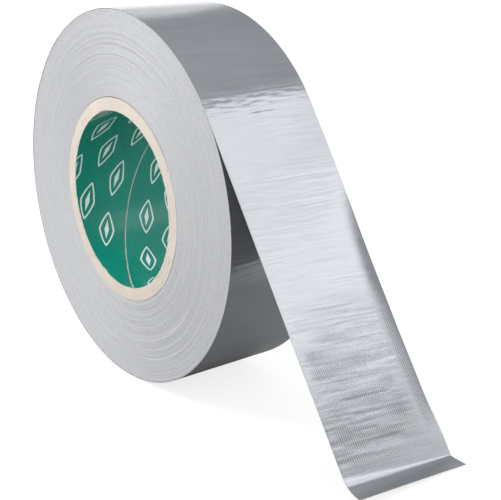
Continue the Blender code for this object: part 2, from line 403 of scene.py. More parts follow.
def print_through(x, s):
    """How the scrim's yarns and fine creases stand out through the film, most of all low on the free end."""
    x, s = np.broadcast_arrays(x, s)
    woven = s - x * skew(s)
    bands = noise(x / (26 * MM) + 3, woven / (2.3 * MM), 41)
    bands += 0.5 * noise(x / (10 * MM), woven / (3.2 * MM), 45)
    middle = window(x, -25 * MM, 6 * MM, 19 * MM, 9 * MM)
    low_down = window(s, 62 * MM, 45 * MM, STRAIGHT - 3 * MM, 10 * MM)
    lower_half = window(s, 50 * MM, 70 * MM, STRAIGHT - 3 * MM, 10 * MM)
    far_edge = fade((x - 17 * MM) / (4 * MM)) * fade((s - 40 * MM) / (30 * MM))
    strength = lower_half * np.clip(middle * (LOWER_YARNS + BANDED_YARNS * bands), 0.0, MOST_YARNS)
    strength += FAINT_YARNS + EDGE_YARNS * low_down * far_edge
    wander = 0.10 * MM * noise(s / (11 * MM), x * 0, 43)
    warp = np.cos(TURN * (x + wander) / WARP_PITCH)
    weft = np.cos(TURN * woven / WEFT_PITCH + noise(x / (7 * MM), s / (9 * MM), 44))
    creases = noise(x / (15 * MM), woven / (1.15 * MM), 46)
    creases += 0.8 * noise(x / (8 * MM), woven / (2.1 * MM), 47)
    corner = fade((-6 * MM - x) / (10 * MM)) * fade((s - 112 * MM) / (10 * MM))
    uneven = low_down * middle * (CREASE_PRINT * creases - BAND_PRINT * np.clip(bands, 0.0, 1.0))
    uneven += CORNER_PRINT * low_down * corner * creases
    crumple = noise(x / (3 * MM), s / (0.95 * MM), 48) + 0.7 * noise(x / (12 * MM), s / (0.9 * MM), 49)
    uneven += CRUMPLE_PRINT * crumple * window(s, -9 * MM, 3 * MM, 6 * MM - 0.18 * x, 9 * MM)
    return strength * (WARP_PRINT * warp + WEFT_PRINT * weft) + uneven


def web_points(x, s, height):
    """Points (rows, columns, 3) at x across the web and stations s, at heights over its sticky face."""
    line, normal = tape_path(x, s)
    points = np.zeros(height.shape + (3,))
    points[..., 0] = x
    points[..., 1:] = line + height[..., None] * normal
    return points


def tape_map(x, s):
    """Places on the unrolled tape, where one unit is the tape's width."""
    u, v = np.broadcast_arrays(x / (2 * HALF_WIDTH) + 0.5, (s - x * skew(s)) / (2 * HALF_WIDTH))
    return np.stack([u, v], -1)


# ---------------- materials

# Where the liner is scuffed: from none at the first place on an axis to all at the second.
SCUFF_REACH = (
    ("X", -HALF_WIDTH + 4.5 * MM, -HALF_WIDTH + 1.5 * MM),
    ("Y", AXIS.y + 0.5 * MM, AXIS.y + 4 * MM),
    ("Z", AXIS.z + BORE_RADIUS * 0.90, AXIS.z + BORE_RADIUS * 0.95),
)


def node(tree, kind, inputs=None, **settings):
    """A shader node with these settings. An input that is given a socket is linked to it."""
    made = tree.nodes.new("ShaderNode" + kind)
    for key, value in settings.items():
        setattr(made, key, value)
    for key, value in (inputs or {}).items():
        if isinstance(value, bpy.types.NodeSocket):
            tree.links.new(value, made.inputs[key])
        else:
            made.inputs[key].default_value = value
    return made


def start_material(name, **values):
    """A new material with a Principled shader. Returns it with its tree and its shader."""
    material = bpy.data.materials.new(name)
    material.use_nodes = True
    shader = material.node_tree.nodes["Principled BSDF"]
    for key, value in values.items():
        shader.inputs[key.replace("_", " ")].default_value = value
    return material, material.node_tree, shader


def flat_place(tree, scale):
    """The unrolled material's own coordinates, scaled by (across, along)."""
    place = node(tree, "UVMap", uv_map="flat")
    return node(tree, "Mapping", {"Vector": place.outputs["UV"], "Scale": (*scale, 1.0)}).outputs["Vector"]


def object_place(tree, scale):
    """The piece's own coordinates in metres, scaled."""
    place = node(tree, "TexCoord")
    return node(tree, "Mapping", {"Vector": place.outputs["Object"], "Scale": scale}).outputs["Vector"]


def flat_noise(tree, scale, detail=2.0, roughness=0.5, place=flat_place):
    """Noise over the unrolled material, or over another kind of place, finer where its scale is larger."""
    inputs = {"Vector": place(tree, scale), "Scale": 1.0, "Detail": detail, "Roughness": roughness}
    return node(tree, "TexNoise", inputs).outputs["Fac"]


def solid_noise(tree, scale, detail=2.0, roughness=0.5):
    """Noise through the piece."""
    return flat_noise(tree, scale, detail, roughness, object_place)


def ramp(tree, value, stops):
    """Colours along a value, from (place, colour) stops."""
    made = node(tree, "ValToRGB", {"Fac": value})
    elements = made.color_ramp.elements
    for k, (place, colour) in enumerate(stops):
        element = elements[k] if k < 2 else elements.new(place)
        element.position = place
        element.color = (*colour, 1.0)
    return made.outputs["Color"]


def remap(tree, value, low, high, start=0.3, end=0.7):
    inputs = {"Value": value, "From Min": start, "From Max": end, "To Min": low, "To Max": high}
    return node(tree, "MapRange", inputs).outputs["Result"]


def maths(tree, operation, a, b):
    return node(tree, "Math", {0: a, 1: b}, operation=operation).outputs["Value"]


def mixed(tree, factor, a, b, blend="MIX"):
    made = node(tree, "MixRGB", {"Fac": factor, "Color1": a, "Color2": b}, blend_type=blend)
    return made.outputs["Color"]


def link_to(tree, shader, **values):
    """Links values to the shader's inputs."""
    for key, value in values.items():
        tree.links.new(value, shader.inputs[key.replace("_", " ")])


def add_bump(tree, shader, value, distance, strength=1.0):
    made = node(tree, "Bump", {"Height": value, "Distance": distance, "Strength": strength})
    link_to(tree, shader, Normal=made.outputs["Normal"])


def film_material():
    """Silver polyethylene film, metallic under a smoother skin, with painted crease shade and highlights
    across it.
    """
    coat = {"Coat_Weight": 0.2, "Coat_Roughness": 0.12}
    material, tree, shader = start_material("silver_film", Metallic=0.85, **coat)
    clouds = flat_noise(tree, (2.4, 1.7), detail=3.0)
    grain = flat_noise(tree, (110, 110), detail=2.0)
    creases_and_painted_shade = flat_noise(tree, (2.6, 62), detail=4.0, roughness=0.65)
    streaks = flat_noise(tree, (1.4, 22), detail=4.0, roughness=0.65)
    tone = ramp(tree, clouds, [(0.30, (0.537, 0.547, 0.572)), (0.70, (0.587, 0.597, 0.622))])
    # Painted shade: the colour is darker along thin crosswise lines, standing in for fine creases; the same
    # lines are raised as bumps.
    tone = mixed(tree, remap(tree, creases_and_painted_shade, 0.0, 0.34), tone, (0.42, 0.44, 0.47, 1.0))
    # Painted highlights: the colour is lighter along wider crosswise streaks; these also set the roughness
    # and stand out as bumps.
    tone = mixed(tree, remap(tree, streaks, 0.0, 0.28), tone, (0.74, 0.755, 0.775, 1.0))
    rough = maths(tree, "ADD", remap(tree, streaks, 0.17, 0.23), remap(tree, grain, -0.02, 0.03))
    link_to(tree, shader, Base_Color=tone, Roughness=rough)
    relief = maths(tree, "ADD", maths(tree, "MULTIPLY", grain, 0.30), creases_and_painted_shade)
    relief = maths(tree, "ADD", relief, maths(tree, "MULTIPLY", streaks, 2.2))
    add_bump(tree, shader, relief, 0.022 * MM)
    return material


def shade_dark_adhesive_material():
    """Rubber adhesive painted near-black as shade, with the scrim's paler grid showing through it."""
    coat = {"Coat_Weight": 0.2, "Coat_Roughness": 0.35}
    material, tree, shader = start_material("adhesive_painted_dark", Specular_IOR_Level=0.5, **coat)
    width = 2 * HALF_WIDTH
    place = flat_place(tree, (width / WARP_PITCH, width / WEFT_PITCH))
    parts = node(tree, "SeparateXYZ", {"Vector": place})
    warp = maths(tree, "COSINE", maths(tree, "MULTIPLY", parts.outputs["X"], TURN), 0.0)
    weft = maths(tree, "COSINE", maths(tree, "MULTIPLY", parts.outputs["Y"], TURN), 0.0)
    grid = maths(tree, "MAXIMUM", warp, weft)
    clouds = flat_noise(tree, (5, 5), detail=4.0)
    # Painted shade: the coat is near-black so that the film mirrors a dark, shadowed underside; the paler
    # grid is the scrim.
    tone = ramp(tree, clouds, [(0.3, (0.060, 0.061, 0.061)), (0.7, (0.090, 0.091, 0.090))])
    tone = mixed(tree, remap(tree, grid, 0.0, 0.30, start=0.2, end=1.0), tone, (0.24, 0.24, 0.23, 1.0))
    link_to(tree, shader, Base_Color=tone, Roughness=remap(tree, clouds, 0.38, 0.55))
    add_bump(tree, shader, grid, 0.02 * MM, 0.8)
    return material


def yarn_material():
    """Off-white polyester and cotton yarn."""
    material, tree, shader = start_material("scrim_yarn", Roughness=0.85, Sheen_Weight=0.3)
    twist = flat_noise(tree, (60, 260), detail=3.0)
    tone = ramp(tree, twist, [(0.3, (0.55, 0.55, 0.51)), (0.7, (0.74, 0.74, 0.70))])
    link_to(tree, shader, Base_Color=tone)
    add_bump(tree, shader, twist, 0.02 * MM)
    return material


def cut_edge_material():
    """The web's cut edge: pale grey film, yarn ends and adhesive, slightly uneven."""
    material, tree, shader = start_material("cut_edge", Roughness=0.6, Specular_IOR_Level=0.35)
    specks = solid_noise(tree, (900, 900, 900), detail=3.0)
    tone = ramp(tree, specks, [(0.35, (0.44, 0.45, 0.47)), (0.65, (0.64, 0.65, 0.675))])
    link_to(tree, shader, Base_Color=tone)
    add_bump(tree, shader, specks, 0.02 * MM)
    return material


def winding_material():
    """The cut edges of the wound turns: film, scrim and adhesive in fine uneven rings, with a fine grain."""
    material, tree, shader = start_material("wound_edges", Specular_IOR_Level=0.35)
    rings = flat_noise(tree, (1.0, 0.55), detail=3.0, roughness=0.7)
    bands = flat_noise(tree, (0.16, 0.9), detail=2.0)
    specks = solid_noise(tree, (1500, 1500, 1500), detail=2.0, roughness=0.7)
    dashes = flat_noise(tree, (0.9, 34), detail=2.0, roughness=0.6)
    tone = ramp(tree, rings, [(0.25, (0.465, 0.47, 0.485)), (0.75, (0.565, 0.57, 0.585))])
    tone = mixed(tree, remap(tree, bands, 0.0, 0.25), tone, (0.45, 0.455, 0.47, 1.0))
    tone = mixed(tree, remap(tree, specks, 0.0, 0.45, start=0.42, end=0.66), tone, (0.36, 0.365, 0.38, 1.0))
    tone = mixed(tree, remap(tree, dashes, 0.0, 0.40, start=0.50, end=0.72), tone, (0.80, 0.805, 0.82, 1.0))
    link_to(tree, shader, Base_Color=tone, Roughness=remap(tree, specks, 0.50, 0.72))
    add_bump(tree, shader, maths(tree, "ADD", specks, dashes), 0.05 * MM, 0.8)
    return material


def board_material(name, light, dark):
    """Paper board: fibres run round the core, and its cut ends are slightly furry."""
    material, tree, shader = start_material(name, Roughness=0.9, Sheen_Weight=0.15, Specular_IOR_Level=0.25)
    fibres = solid_noise(tree, (900, 1500, 1500), detail=4.0, roughness=0.6)
    clouds = solid_noise(tree, (60, 90, 90), detail=3.0)
    value = maths(tree, "ADD", maths(tree, "MULTIPLY", fibres, 0.55), maths(tree, "MULTIPLY", clouds, 0.45))
    link_to(tree, shader, Base_Color=ramp(tree, value, [(0.32, dark), (0.66, light)]))
    add_bump(tree, shader, fibres, 0.08 * MM, 0.7)
    return material


def liner_material():
    """Glossy green printed paper, scuffed to white in streaks at the top of its near edge."""
    coat = {"Coat_Weight": 0.4, "Coat_Roughness": 0.22}
    material, tree, shader = start_material("green_liner", Specular_IOR_Level=0.5, **coat)
    clouds = flat_noise(tree, (0.9, 0.9), detail=3.0)
    fine = flat_noise(tree, (6, 60), detail=3.0)
    tone = ramp(tree, clouds, [(0.25, (0.000, 0.245, 0.172)), (0.75, (0.000, 0.315, 0.232))])
    tone = mixed(tree, remap(tree, fine, 0.0, 0.12, start=0.5, end=0.8), tone, (0.03, 0.46, 0.36, 1.0))
    parts = node(tree, "SeparateXYZ", {"Vector": object_place(tree, (1.0, 1.0, 1.0))})
    streaks = flat_noise(tree, (2.0, 60), detail=2.0)
    worn = remap(tree, streaks, 0.0, 1.0, start=0.50, end=0.60)
    for axis, low, high in SCUFF_REACH:
        worn = maths(tree, "MULTIPLY", worn, remap(tree, parts.outputs[axis], 0.0, 1.0, start=low, end=high))
    tone = mixed(tree, worn, tone, (0.72, 0.82, 0.78, 1.0))
    link_to(tree, shader, Base_Color=tone, Roughness=remap(tree, fine, 0.24, 0.36))
    add_bump(tree, shader, maths(tree, "ADD", fine, clouds), 0.03 * MM, 0.5)
    return material


def ink_material():
    """Pale mint ink."""
    material, tree, shader = start_material("mint_ink", Roughness=0.4, Coat_Weight=0.3)
    worn = solid_noise(tree, (900, 900, 900), detail=3.0)
    tone = ramp(tree, worn, [(0.30, (0.82, 0.93, 0.89)), (0.62, (0.95, 0.98, 0.96))])
    link_to(tree, shader, Base_Color=tone)
    return material


def make_materials():
    return {
        "film": film_material(),
        "adhesive": shade_dark_adhesive_material(),
        "scrim": yarn_material(),
        "winding": winding_material(),
        "cut": cut_edge_material(),
        "board": board_material("core_board", (0.70, 0.635, 0.57), (0.60, 0.52, 0.445)),
        "kraft": board_material("kraft_ply", (0.80, 0.70, 0.60), (0.66, 0.54, 0.44)),
        "liner": liner_material(),
        "ink": ink_material(),
    }


# ---------------- the core

# How finely the strips are cut, as (round, along), and how uneven their cut ends are.
LINER_CUTS = (361, 61)
BOARD_CUTS = (241, 13)
LINER_ROUGH = 0.10 * MM
BOARD_ROUGH = 0.09 * MM
STRIP_INSET = 0.05 * MM
# Where the liner's ends are torn back: (degrees round, half the width in degrees, depth).
NEAR_TEARS = ((345, 9, 0.7 * MM), (147, 5, 0.9 * MM), (140, 3, 0.6 * MM), (205, 4, 0.5 * MM))
FAR_TEAR = (80, 6, 0.6 * MM)


def on_circle(x, radius, angle):
    """Points at x along the roll, at a radius and an angle round it."""
    return np.stack([x, AXIS.y - radius * np.sin(angle), AXIS.z + radius * np.cos(angle)], -1)


def strip_grid(radius, thickness, seam_angle, rows, columns, edge, relief=None):
    """Outer and inner grids of one paper strip. Its two edges meet along a helix, with a gap between them."""
    helix = math.asin(STRIP_WIDTH / (TURN * radius))
    lead = TURN * radius * math.tan(helix)
    gap = SEAM_GAP / math.cos(helix) / radius
    share = np.linspace(0.0, 1.0, rows)[:, None]
    across = np.linspace(-1.0, 1.0, columns)[None, :]
    x = across * HALF_WIDTH
    angle = seam_angle + TURN * x / lead + gap / 2 + share * (TURN - gap)
    near, far = edge(angle)
    x = np.where(across < 0, x * near / HALF_WIDTH, x * far / HALF_WIDTH)
    grids = []
    for r in (radius + thickness, radius):
        lifted = r + (relief(angle, x) if relief is not None else 0.0)
        grids.append(on_circle(x + 0 * angle, lifted, angle))
    flat = np.stack([angle * radius / (2 * HALF_WIDTH), x / (2 * HALF_WIDTH) + 0 * angle], -1)
    return grids[0], grids[1], flat


def paper_edge(seed, rough):
    """How far a strip reaches to each side at an angle: its cut ends are slightly uneven."""
    def edge(angle):
        return [HALF_WIDTH - STRIP_INSET + rough * noise(angle * 26, angle * 0, seed + k) for k in (0, 1)]
    return edge


def liner_edge(angle):
    """The liner's cut ends: fuzzy, and torn back in a few places, most at the top of the near side."""
    near, far = paper_edge(61, LINER_ROUGH)(angle)
    turned = np.degrees(np.mod(angle, TURN))
    ragged = 0.7 + 0.3 * noise(angle * 60, angle * 0, 66)
    for place, half, depth in NEAR_TEARS:
        near = near - depth * bump((turned - place) / half) * ragged
    place, half, depth = FAR_TEAR
    return near, far - depth * bump((turned - place) / half)


def liner_relief(angle, x):
    """How far the liner stands off the board under it: broad waves and small ones."""
    waves = 0.025 * MM * noise(angle * 5, x / (9 * MM), 71)
    return waves + 0.012 * MM * noise(angle * 22, x / (3 * MM), 72)


def make_core(materials):
    """The liner, the board strips and the outer ply, from the bore outwards."""
    radius = BORE_RADIUS
    plies = [("core_liner", "liner_strip", LINER_THICKNESS, "liner")]
    for k in range(1, BOARD_PLIES + 1):
        plies += [(f"core_board_{k}", f"board_strip_{k}", BOARD_THICKNESS, "board")]
    plies += [("core_outer_ply", "kraft_strip", KRAFT_THICKNESS, "kraft")]
    for k, (cad_node, name, thickness, finish) in enumerate(plies):
        seam = LINER_SEAM_ANGLE + k * TURN / len(plies)
        if finish == "liner":
            shape = (*LINER_CUTS, liner_edge, liner_relief)
        else:
            shape = (*BOARD_CUTS, paper_edge(80 + 2 * k, BOARD_ROUGH))
        outer, inner, flat = strip_grid(radius, thickness, seam, *shape)
        piece = grid_solid(name, outer, inner, materials[finish], flat, materials["board"])
        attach(piece, "roll")
        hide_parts(cad_node)
        radius += thickness + GLUE_LINE


# ---------------- the liner's print

# A mark is a lozenge outline with a small solid lozenge in it. Marks stand in rows that climb with the strip.
MARK_LENGTH = 17.8 * MM
MARK_WIDTH = 7.6 * MM
MARK_LINE = 0.78 * MM
MARK_PITCH = 25.3 * MM
MARK_ROW = 11.5 * MM
MARK_SHIFT = 11.0 * MM
MARK_FIRST = 18.9 * MM
MARK_MARGIN = 10.3 * MM
MARK_ROWS = range(8)
MARKS_IN_ROW = range(-4, 12)
INK_THICKNESS = 0.02 * MM
PRINT_LIFT = 0.045 * MM
# A face of a mark needs a corner this far inside the print's limit, so that no loose fleck is left.
LEAST_INK = 0.1 * MM
PRINT_INSET = 0.15 * MM
LOZENGE_POWER = 1.25
LOZENGE_POINTS = 72
# How much shorter and narrower the outline's inner side is, in line widths.
LINE_AT_ENDS = 3.2
LINE_AT_SIDES = 2.1
# The small lozenge: its cuts, half its length and width as shares of the mark's, and its blunt ends.
INNER_CUTS = 22
INNER_LENGTH = 0.27
INNER_WIDTH = 0.15
INNER_BLUNT = 0.06


def lozenge(angle, length, width):
    """The point (along, across) at an angle on a lozenge with soft corners."""
    c, s = math.cos(angle), math.sin(angle)
    power = 2 / LOZENGE_POWER
    return (math.copysign(abs(c) ** power, c) * length / 2, math.copysign(abs(s) ** power, s) * width / 2)


def mark_faces():
    """One mark, laid flat, as points and faces."""
    points, faces = [], []
    count = LOZENGE_POINTS
    for k in range(count):
        turn = TURN * k / count
        points.append(lozenge(turn, MARK_LENGTH, MARK_WIDTH))
        inner = (MARK_LENGTH - LINE_AT_ENDS * MARK_LINE, MARK_WIDTH - LINE_AT_SIDES * MARK_LINE)
        points.append(lozenge(turn, *inner))
        a, b = 2 * k, 2 * ((k + 1) % count)
        faces.append((a, b, b + 1, a + 1))
    first = len(points)
    for k in range(INNER_CUTS + 1):
        share = -1 + 2 * k / INNER_CUTS
        half = max(INNER_BLUNT, 1 - abs(share)) * INNER_WIDTH * MARK_WIDTH
        points += [(share * INNER_LENGTH * MARK_LENGTH, side * half) for side in (-1, 1)]
        if k:
            a = first + 2 * (k - 1)
            faces.append((a, a + 2, a + 3, a + 1))
    return points, faces


def mark_places():
    """Each mark's centre along and across the strip, and the angle at which the strip climbs."""
    helix = math.asin(STRIP_WIDTH / (TURN * BORE_RADIUS))
    seam_across = -LINER_SEAM_ANGLE * BORE_RADIUS * math.sin(helix)
    for row in MARK_ROWS:
        across = seam_across + MARK_MARGIN + row * MARK_ROW
        for k in MARKS_IN_ROW:
            along = MARK_FIRST + row * MARK_SHIFT + (k - row // 2) * MARK_PITCH
            x = -along * math.sin(helix) + across * math.cos(helix)
            if abs(x) < HALF_WIDTH + MARK_LENGTH / 2:
                yield along, across, helix


def rim_of(quads):
    """The sides of some quads that belong to one quad only, as (from, to) pairs."""
    sides = {side: True for quad in quads for side in zip(quad, quad[1:] + quad[:1])}
    return [(a, b) for a, b in sides if (b, a) not in sides]


def printed_point(x, arc, lift):
    """A point on the liner's inner face, at x along the bore and arc round it, lifted towards the axis."""
    angle = -arc / BORE_RADIUS
    r = BORE_RADIUS - lift + liner_relief(np.array([angle]), np.array([x]))[0]
    return x, AXIS.y - r * math.sin(angle), AXIS.z + r * math.cos(angle)


def make_print(materials):
    """The ink marks as one thin raised piece, cut off at the liner's ends."""
    shape, shape_faces = mark_faces()
    limit = HALF_WIDTH - PRINT_INSET
    top, bottom, quads = [], [], []
    for along, across, helix in mark_places():
        base = len(top)
        inside = []
        for u, v in shape:
            x = -(along + u) * math.sin(helix) + (across + v) * math.cos(helix)
            arc = (along + u) * math.cos(helix) + (across + v) * math.sin(helix)
            inside.append(abs(x) < limit - LEAST_INK)
            x = max(-limit, min(limit, x))
            top.append(printed_point(x, arc, PRINT_LIFT + INK_THICKNESS))
            bottom.append(printed_point(x, arc, PRINT_LIFT))
        quads += [[base + n for n in face] for face in shape_faces if any(inside[n] for n in face)]
    count = len(top)
    faces = quads + [[n + count for n in reversed(q)] for q in quads]
    faces += [[b, a, a + count, b + count] for a, b in rim_of(quads)]
    kept, faces = np.unique(np.array(faces), return_inverse=True)
    points = np.array(top + bottom)[kept]
    piece = add_piece("liner_print", points, facing_out(points, faces.reshape(-1, 4)), materials["ink"])
    piece.data.validate()
    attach(piece, "roll")


# ---------------- the wound tape

WINDING_SEGMENTS = 150
# A turn's edge in section: shares of the turn's thickness, and how deep the groove at its start is.
EDGE_SHARES = np.array([0.0, 0.16, 0.80])
EDGE_DEPTHS = np.array([-0.055, 0.0, 0.0]) * MM
EDGE_INSET = 0.12 * MM
EDGE_LIMIT = 0.25 * MM
EDGE_MAP_SCALE = 4.0
FAR_SIDE_SHIFT = 40.0
# How far the turns' edges stand out: slowly over the turns, turn by turn, round the roll, and in ripples.
SLOW_EDGES = 0.045 * MM
QUICK_EDGES = 0.014 * MM
WANDERING_EDGES = 0.05 * MM
RIPPLED_EDGES = 0.022 * MM
RIPPLE_TURNS = 7.5


def edge_offsets(turns, angles, seed):
    """How far each turn's edge stands out of the roll's flat side, for every turn and angle."""
    rng = np.random.default_rng(seed)
    loose = rng.normal(0, 1, turns + 12)
    smoothing = np.hanning(9) / np.hanning(9).sum() * 2.2
    slow = np.convolve(loose, smoothing, "same")[6:6 + turns]
    quick = rng.normal(0, 1, turns)
    turn = np.arange(turns)[:, None]
    across, up = np.cos(angles), np.sin(angles)
    wander = noise(across * 1.6 + 5 + turn * 0, turn * 0.10 + up * 1.6, seed + 1)
    drift = 4.5 * noise(across * 1.1 + 3, up * 1.1 + turn * 0.02, seed + 2)
    ripple = np.sin(TURN * (turn + drift) / RIPPLE_TURNS) * (0.8 - 0.5 * across)
    standing = SLOW_EDGES * slow[:, None] + QUICK_EDGES * quick[:, None]
    return standing + WANDERING_EDGES * wander + RIPPLED_EDGES * ripple


def spiral_faces(length, per_turn):
    """Quads of the wound turns for a spiral of so many steps, each with three points on each flat side."""
    number = np.arange(length * 3).reshape(length, 3)
    here, there = number[:-1], number[1:]
    bands = [np.stack([here[:, k], there[:, k], there[:, k + 1], here[:, k + 1]], -1) for k in (0, 1)]
    inner, outer = number[:-per_turn], number[per_turn:]
    bands.append(np.stack([inner[:-1, 2], inner[1:, 2], outer[1:, 0], outer[:-1, 0]], -1))
    near = np.concatenate(bands)
    inner_rim = [*number[per_turn::-1, 0], 1, 2, number[per_turn, 0]]
    outer_rim = [*number[-1 - per_turn:, 2], number[-1, 1], number[-1, 0], number[-1 - per_turn, 2]]
    far = number.size
    walls = [(a, b, b + far, a + far) for rim in (inner_rim, outer_rim) for a, b in zip(rim, rim[1:])]
    return np.concatenate([near, near[:, ::-1] + far, np.array(walls)])


def make_winding(materials):
    """The turns under the last one as one spiral. On both sides each turn's edge stands proud of a groove."""
    turns, count = TURNS_UNDER_LAST, WINDING_SEGMENTS
    inner = CORE_RADIUS + GLUE_LINE
    pitch = (LAST_RADIUS - GLUE_LINE - inner) / turns
    place = np.arange((turns - 1) * count + 1)
    angle = PEEL_ANGLE - TURN + TURN * (place % count) / count
    r = (inner + pitch * (place / count))[:, None] + EDGE_SHARES * pitch
    turned = np.broadcast_to(angle[:, None], r.shape)
    points, flat = [], []
    for side, seed, shift in ((-1, 51, 0.0), (1, 57, FAR_SIDE_SHIFT)):
        offsets = edge_offsets(turns, TURN * np.arange(count)[None, :] / count, seed)
        proud = np.clip(offsets[place // count, place % count], -EDGE_LIMIT, EDGE_LIMIT)
        x = side * (HALF_WIDTH - EDGE_INSET + proud[:, None] + EDGE_DEPTHS)
        points.append(on_circle(x, r, turned).reshape(-1, 3))
        flat.append(np.stack([(r - inner) / pitch, turned * EDGE_MAP_SCALE], -1).reshape(-1, 2) + shift)
    points = np.concatenate(points)
    faces = facing_out(points, spiral_faces(len(place), count))
    piece = add_piece("wound_turns", points, faces, materials["winding"], np.concatenate(flat), sharp=60)
    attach(piece, "roll")
    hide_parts("winding")


# ---------------- the last turn and the free end

# The cut end's yarns stick out by up to this much.
FRAY = 0.5 * MM
# The coat and the yarns stay this far inside the web's edges.
COAT_INSET = 0.03 * MM
WARP_INSET = 0.3 * MM
WEFT_INSET = 0.1 * MM
WEFT_END_INSET = 0.3 * MM
WARP_WIDTH = 0.36 * MM
WEFT_WIDTH = 0.30 * MM
YARN_SHARE = 0.48
# How many points a weft yarn has, on the last turn and on the free end.
TURN_WEFT_POINTS = 30
TAIL_WEFT_POINTS = 60
# The last turn starts this far under the line where the tape leaves the roll.
LAP = 7 * MM
OLD_BAND_FINE = 8 * MM
PEEL_FINE = 18 * MM
# Each layer's lowest and highest face over the web's sticky face.
LAYERS = {
    "film": (TAPE_THICKNESS - FILM_THICKNESS, TAPE_THICKNESS),
    "scrim": (ADHESIVE_THICKNESS + GLUE_LINE, ADHESIVE_THICKNESS + GLUE_LINE + SCRIM_THICKNESS),
    "adhesive": (0.0, ADHESIVE_THICKNESS),
}


def layer_piece(name, layer, stations, columns, materials, inset=0.0):
    """The film or the adhesive coat. stations(x) gives the rows' stations for each x."""
    x = np.linspace(-HALF_WIDTH + inset, HALF_WIDTH - inset, columns + 1)
    s = stations(x)
    lift = drape(x[None, :], s)
    low, high = LAYERS[layer]
    relief = print_through(x[None, :], s) if layer == "film" else 0.0
    top = web_points(x, s, high + lift + relief)
    bottom = web_points(x, s, low + lift)
    return grid_solid(name, top, bottom, materials[layer], tape_map(x, s), materials["cut"])


def yarns(paths, wide, tall):
    """Points, quads and flat places of closed flat yarns. Each path is (centre, side, up, flat place)."""
    corners = [(-0.5, -0.35), (-0.5, 0.35), (0.5, 0.35), (0.5, -0.35)]
    all_points, all_quads, all_flat = [], [], []
    base = 0
    for centre, side, up, flat in paths:
        ring = np.stack([centre + a * wide * side + b * tall * up for a, b in corners], 1)
        rows, count = ring.shape[:2]
        number = base + np.arange(rows * count).reshape(rows, count)
        here, there = number[:-1], number[1:]
        quads = np.stack([here, there, np.roll(there, -1, 1), np.roll(here, -1, 1)], -1).reshape(-1, 4)
        all_points.append(ring.reshape(-1, 3))
        all_quads.append(np.concatenate([quads, [number[0], number[-1][::-1]]]))
        all_flat.append(np.repeat(flat, count, axis=0))
        base += rows * count
    return np.concatenate(all_points), np.concatenate(all_quads), np.concatenate(all_flat)


def scrim_piece(name, stations, weft_points, materials, fray=0.0):
    """The scrim's yarns between stations(x): warp along the tape on top, weft across it underneath."""
    low, high = LAYERS["scrim"]
    tall = (high - low) * YARN_SHARE
    rng = np.random.default_rng(91)
    warp_count = int((2 * HALF_WIDTH - 2 * WARP_INSET) / WARP_PITCH)
    warps = []
    for k in range(warp_count + 1):
        x = np.array([(k - warp_count / 2) * WARP_PITCH])
        s = stations(x)
        s = np.append(s, s[-1:] + fray * rng.uniform(0.1, 1.0), axis=0) if fray else s
        _, normal = tape_path(x, s)
        centre = web_points(x, s, (high - tall / 2) + drape(x[None, :], s))[:, 0]
        up = np.concatenate([np.zeros((len(s), 1)), normal[:, 0]], 1)
        side = np.tile([1.0, 0.0, 0.0], (len(s), 1))
        warps.append((centre, side, up, tape_map(x, s)[:, 0]))
    warp = yarns(warps, WARP_WIDTH, tall)

    x = np.linspace(-HALF_WIDTH + WEFT_INSET, HALF_WIDTH - WEFT_INSET, weft_points)
    limits = stations(x)
    first, last = limits[0] + WEFT_END_INSET, limits[-1] - WEFT_END_INSET
    wefts = []
    for k in range(math.floor(first.min() / WEFT_PITCH), math.ceil(last.max() / WEFT_PITCH) + 1):
        s = k * WEFT_PITCH + x * skew(np.array(k * WEFT_PITCH))
        inside = np.flatnonzero((s > first) & (s < last))
        if len(inside) < 3:
            continue
        here = x[inside]
        row = s[inside][None, :]
        _, normal = tape_path(here, row)
        centre = web_points(here, row, (low + tall / 2) + drape(here[None, :], row))[0]
        up = np.concatenate([np.zeros((len(here), 1)), normal[0]], 1)
        side = np.stack([np.zeros(len(here)), -normal[0, :, 1], normal[0, :, 0]], 1)
        wefts.append((centre, side, up, tape_map(here, row)[0]))
    weft = yarns(wefts, WEFT_WIDTH, tall)
    points = np.concatenate([warp[0], weft[0]])
    quads = np.concatenate([facing_out(warp[0], warp[1]), facing_out(weft[0], weft[1]) + len(warp[0])])
    flat = np.concatenate([warp[2], weft[2]])
    return add_piece(name, points, quads, materials["scrim"], flat, sharp=70)


def straight_rows(stations):
    """The same stations at every x."""
    return lambda x: np.repeat(stations[:, None], len(x), axis=1)


def tip_rows(x):
    """Stations over the tip, up to the cut end, which runs slightly askew."""
    start = STRAIGHT - TIP_LEAD
    end = by_edge(FOOT_START, x) + by_edge(FOOT_LENGTH, x)
    rows = round((MIDDLE_END - start) / FINE_STEP) + 1
    return start + np.linspace(0.0, 1.0, rows)[:, None] * (end - start)


def make_web(names, cad_end, rows, columns, weft_points, materials, fray=0.0):
    """A stretch of film, adhesive coat and scrim, for the CAD nodes whose names end in cad_end."""
    film = layer_piece(names[0], "film", rows, columns, materials)
    coat = layer_piece(names[1], "adhesive", rows, COAT_COLUMNS, materials, COAT_INSET)
    scrim = scrim_piece(names[2], rows, weft_points, materials, fray)
    for piece, layer in ((film, "film"), (scrim, "scrim"), (coat, "adhesive")):
        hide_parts(f"{layer}_{cad_end}")
    return film, scrim, coat


def make_last_turn(materials):
    """The tape's outermost turn, from under the peel line right round to it."""
    stops = [-TURN_LENGTH - LAP, OLD_BAND - OLD_BAND_FINE, OLD_BAND + OLD_BAND_FINE, -PEEL_FINE, 0.0]
    spacing = [COARSE_STEP, FINE_STEP, COARSE_STEP, FINE_STEP]
    runs = [steps(start, end, step)[:-1] for start, end, step in zip(stops, stops[1:], spacing)]
    rows = straight_rows(np.concatenate(runs + [[0.0]]))
    names = ("film_last_turn", "adhesive_last_turn", "scrim_last_turn")
    for piece in make_web(names, "on_roll", rows, TURN_COLUMNS, TURN_WEFT_POINTS, materials):
        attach(piece, "roll")


